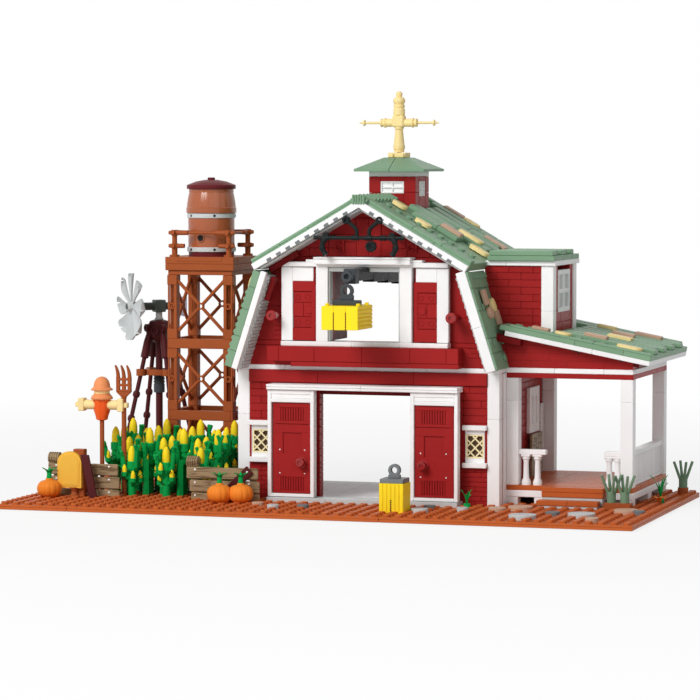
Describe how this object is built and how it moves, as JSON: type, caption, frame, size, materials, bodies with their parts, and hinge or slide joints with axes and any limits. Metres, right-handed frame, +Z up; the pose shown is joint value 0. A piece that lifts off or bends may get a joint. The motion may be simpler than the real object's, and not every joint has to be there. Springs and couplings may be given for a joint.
{
  "type": "toy barn",
  "caption": "Open-backed toy barn on a studded base, with sliding doors, gambrel roof, porch, braced water tower, windmill and corn patch.",
  "frame": {"origin": "centre of the base on the surface it stands on", "axes": "+X to the right seen from the front, along the base's long side; -Y to the front with the doors; +Z up"},
  "size_m": [0.416, 0.208, 0.269],
  "materials": {
    "brick_red": "moulded gloss",
    "brick_white": "moulded gloss",
    "roof_green": "moulded gloss",
    "base_orange": "moulded gloss",
    "sill_grey": "moulded gloss",
    "lattice_tan": "moulded gloss",
    "hoist_grey": "moulded gloss",
    "rail_black": "moulded gloss",
    "hay_yellow": "moulded gloss",
    "tower_brown": "moulded gloss",
    "mill_brown": "moulded gloss",
    "leaf_green": "moulded gloss",
    "fence_tan": "moulded gloss",
    "sign_gold": "moulded gloss"
  },
  "bodies": {
    "barn": {"barge_boards": "brick_white", "barrel_hoops": "sill_grey", "barrel_lid": "tower_brown", "base_plate_left": "base_orange", "base_plate_middle": "base_orange", "base_plate_right": "base_orange", "corn_cobs": "hay_yellow", "corn_stalks": "leaf_green", "corner_posts": "brick_white", "cupola_roof": "roof_green", "cupola_walls": "brick_red", "door_header": "brick_white", "door_sill": "sill_grey", "dormer_roof": "roof_green", "dormer_walls": "brick_red", "fence": "fence_tan", "front_gable": "brick_red", "front_wall": "brick_red", "gable_rail": "rail_black", "hoist_beam": "hoist_grey", "lattice_windows": "lattice_tan", "loft_floor": "brick_white", "loft_ledge": "brick_red", "loft_surround": "brick_white", "mill_stand": "mill_brown", "porch_deck": "tower_brown", "porch_frame": "brick_white", "porch_gable": "brick_red", "porch_railings": "brick_white", "porch_roof": "roof_green", "porch_steps": "tower_brown", "rear_frame": "brick_red", "ridge_cap": "roof_green", "roof_lower": "roof_green", "roof_upper_left": "roof_green", "roof_upper_right": "roof_green", "scarecrow": "fence_tan", "side_walls": "brick_red", "sign_board": "sign_gold", "tower_girders": "tower_brown", "tower_platform": "tower_brown", "vane_socket": "lattice_tan", "water_barrel": "tower_brown", "white_trim": "brick_white", "window_panes": "brick_white"},
    "door_left": {"door_frame_left": "brick_white"},
    "door_leaf_left_body": {"door_leaf_left": "brick_red", "door_knob_left": "brick_red"},
    "door_right": {"door_frame_right": "brick_white"},
    "door_leaf_right_body": {"door_leaf_right": "brick_red", "door_knob_right": "brick_red"},
    "shutter_left_body": {"shutter_left": "brick_red", "shutter_stile_left": "brick_white"},
    "shutter_right_body": {"shutter_right": "brick_red", "shutter_stile_right": "brick_white"},
    "hay_load": {"bale_shackle": "hoist_grey", "hay_bale": "hay_yellow"},
    "vane": {"weathervane": "lattice_tan"},
    "mill_top": {"mill_head": "hoist_grey"},
    "rotor": {"mill_rotor": "sill_grey"}
  },
  "joints": [
    {"name": "door_left_slide", "type": "slide", "parent": "barn", "child": "door_left", "axis": [1, 0, 0], "range_m": [0, 0.032]},
    {"name": "door_right_slide", "type": "slide", "parent": "barn", "child": "door_right", "axis": [-1, 0, 0], "range_m": [0, 0.032]},
    {"name": "door_leaf_left_hinge", "type": "hinge", "parent": "door_left", "child": "door_leaf_left_body", "pos_m": [-0.0434, -0.0328, 0.038], "axis": [0, 0, -1], "range_deg": [0, 90]},
    {"name": "door_leaf_right_hinge", "type": "hinge", "parent": "door_right", "child": "door_leaf_right_body", "pos_m": [0.0754, -0.0328, 0.038], "axis": [0, 0, 1], "range_deg": [0, 90]},
    {"name": "shutter_left_hinge", "type": "hinge", "parent": "barn", "child": "shutter_left_body", "pos_m": [-0.0183, -0.0283, 0.131], "axis": [0, 0, 1], "range_deg": [0, 90]},
    {"name": "shutter_right_hinge", "type": "hinge", "parent": "barn", "child": "shutter_right_body", "pos_m": [0.0503, -0.0283, 0.131], "axis": [0, 0, -1], "range_deg": [0, 90]},
    {"name": "bale_swing", "type": "hinge", "parent": "barn", "child": "hay_load", "pos_m": [0.016, -0.067, 0.1504], "axis": [1, 0, 0], "range_deg": [-20, 20]},
    {"name": "vane_spin", "type": "hinge", "parent": "barn", "child": "vane", "pos_m": [0.016, 0.048, 0.228], "axis": [0, 0, 1], "continuous": true},
    {"name": "mill_yaw", "type": "hinge", "parent": "barn", "child": "mill_top", "pos_m": [-0.1662, 0.08, 0.119], "axis": [0, 0, 1], "continuous": true},
    {"name": "rotor_spin", "type": "hinge", "parent": "mill_top", "child": "rotor", "pos_m": [-0.18106, 0.06662, 0.1232], "axis": [-0.7431, -0.6691, 0], "continuous": true}
  ]
}
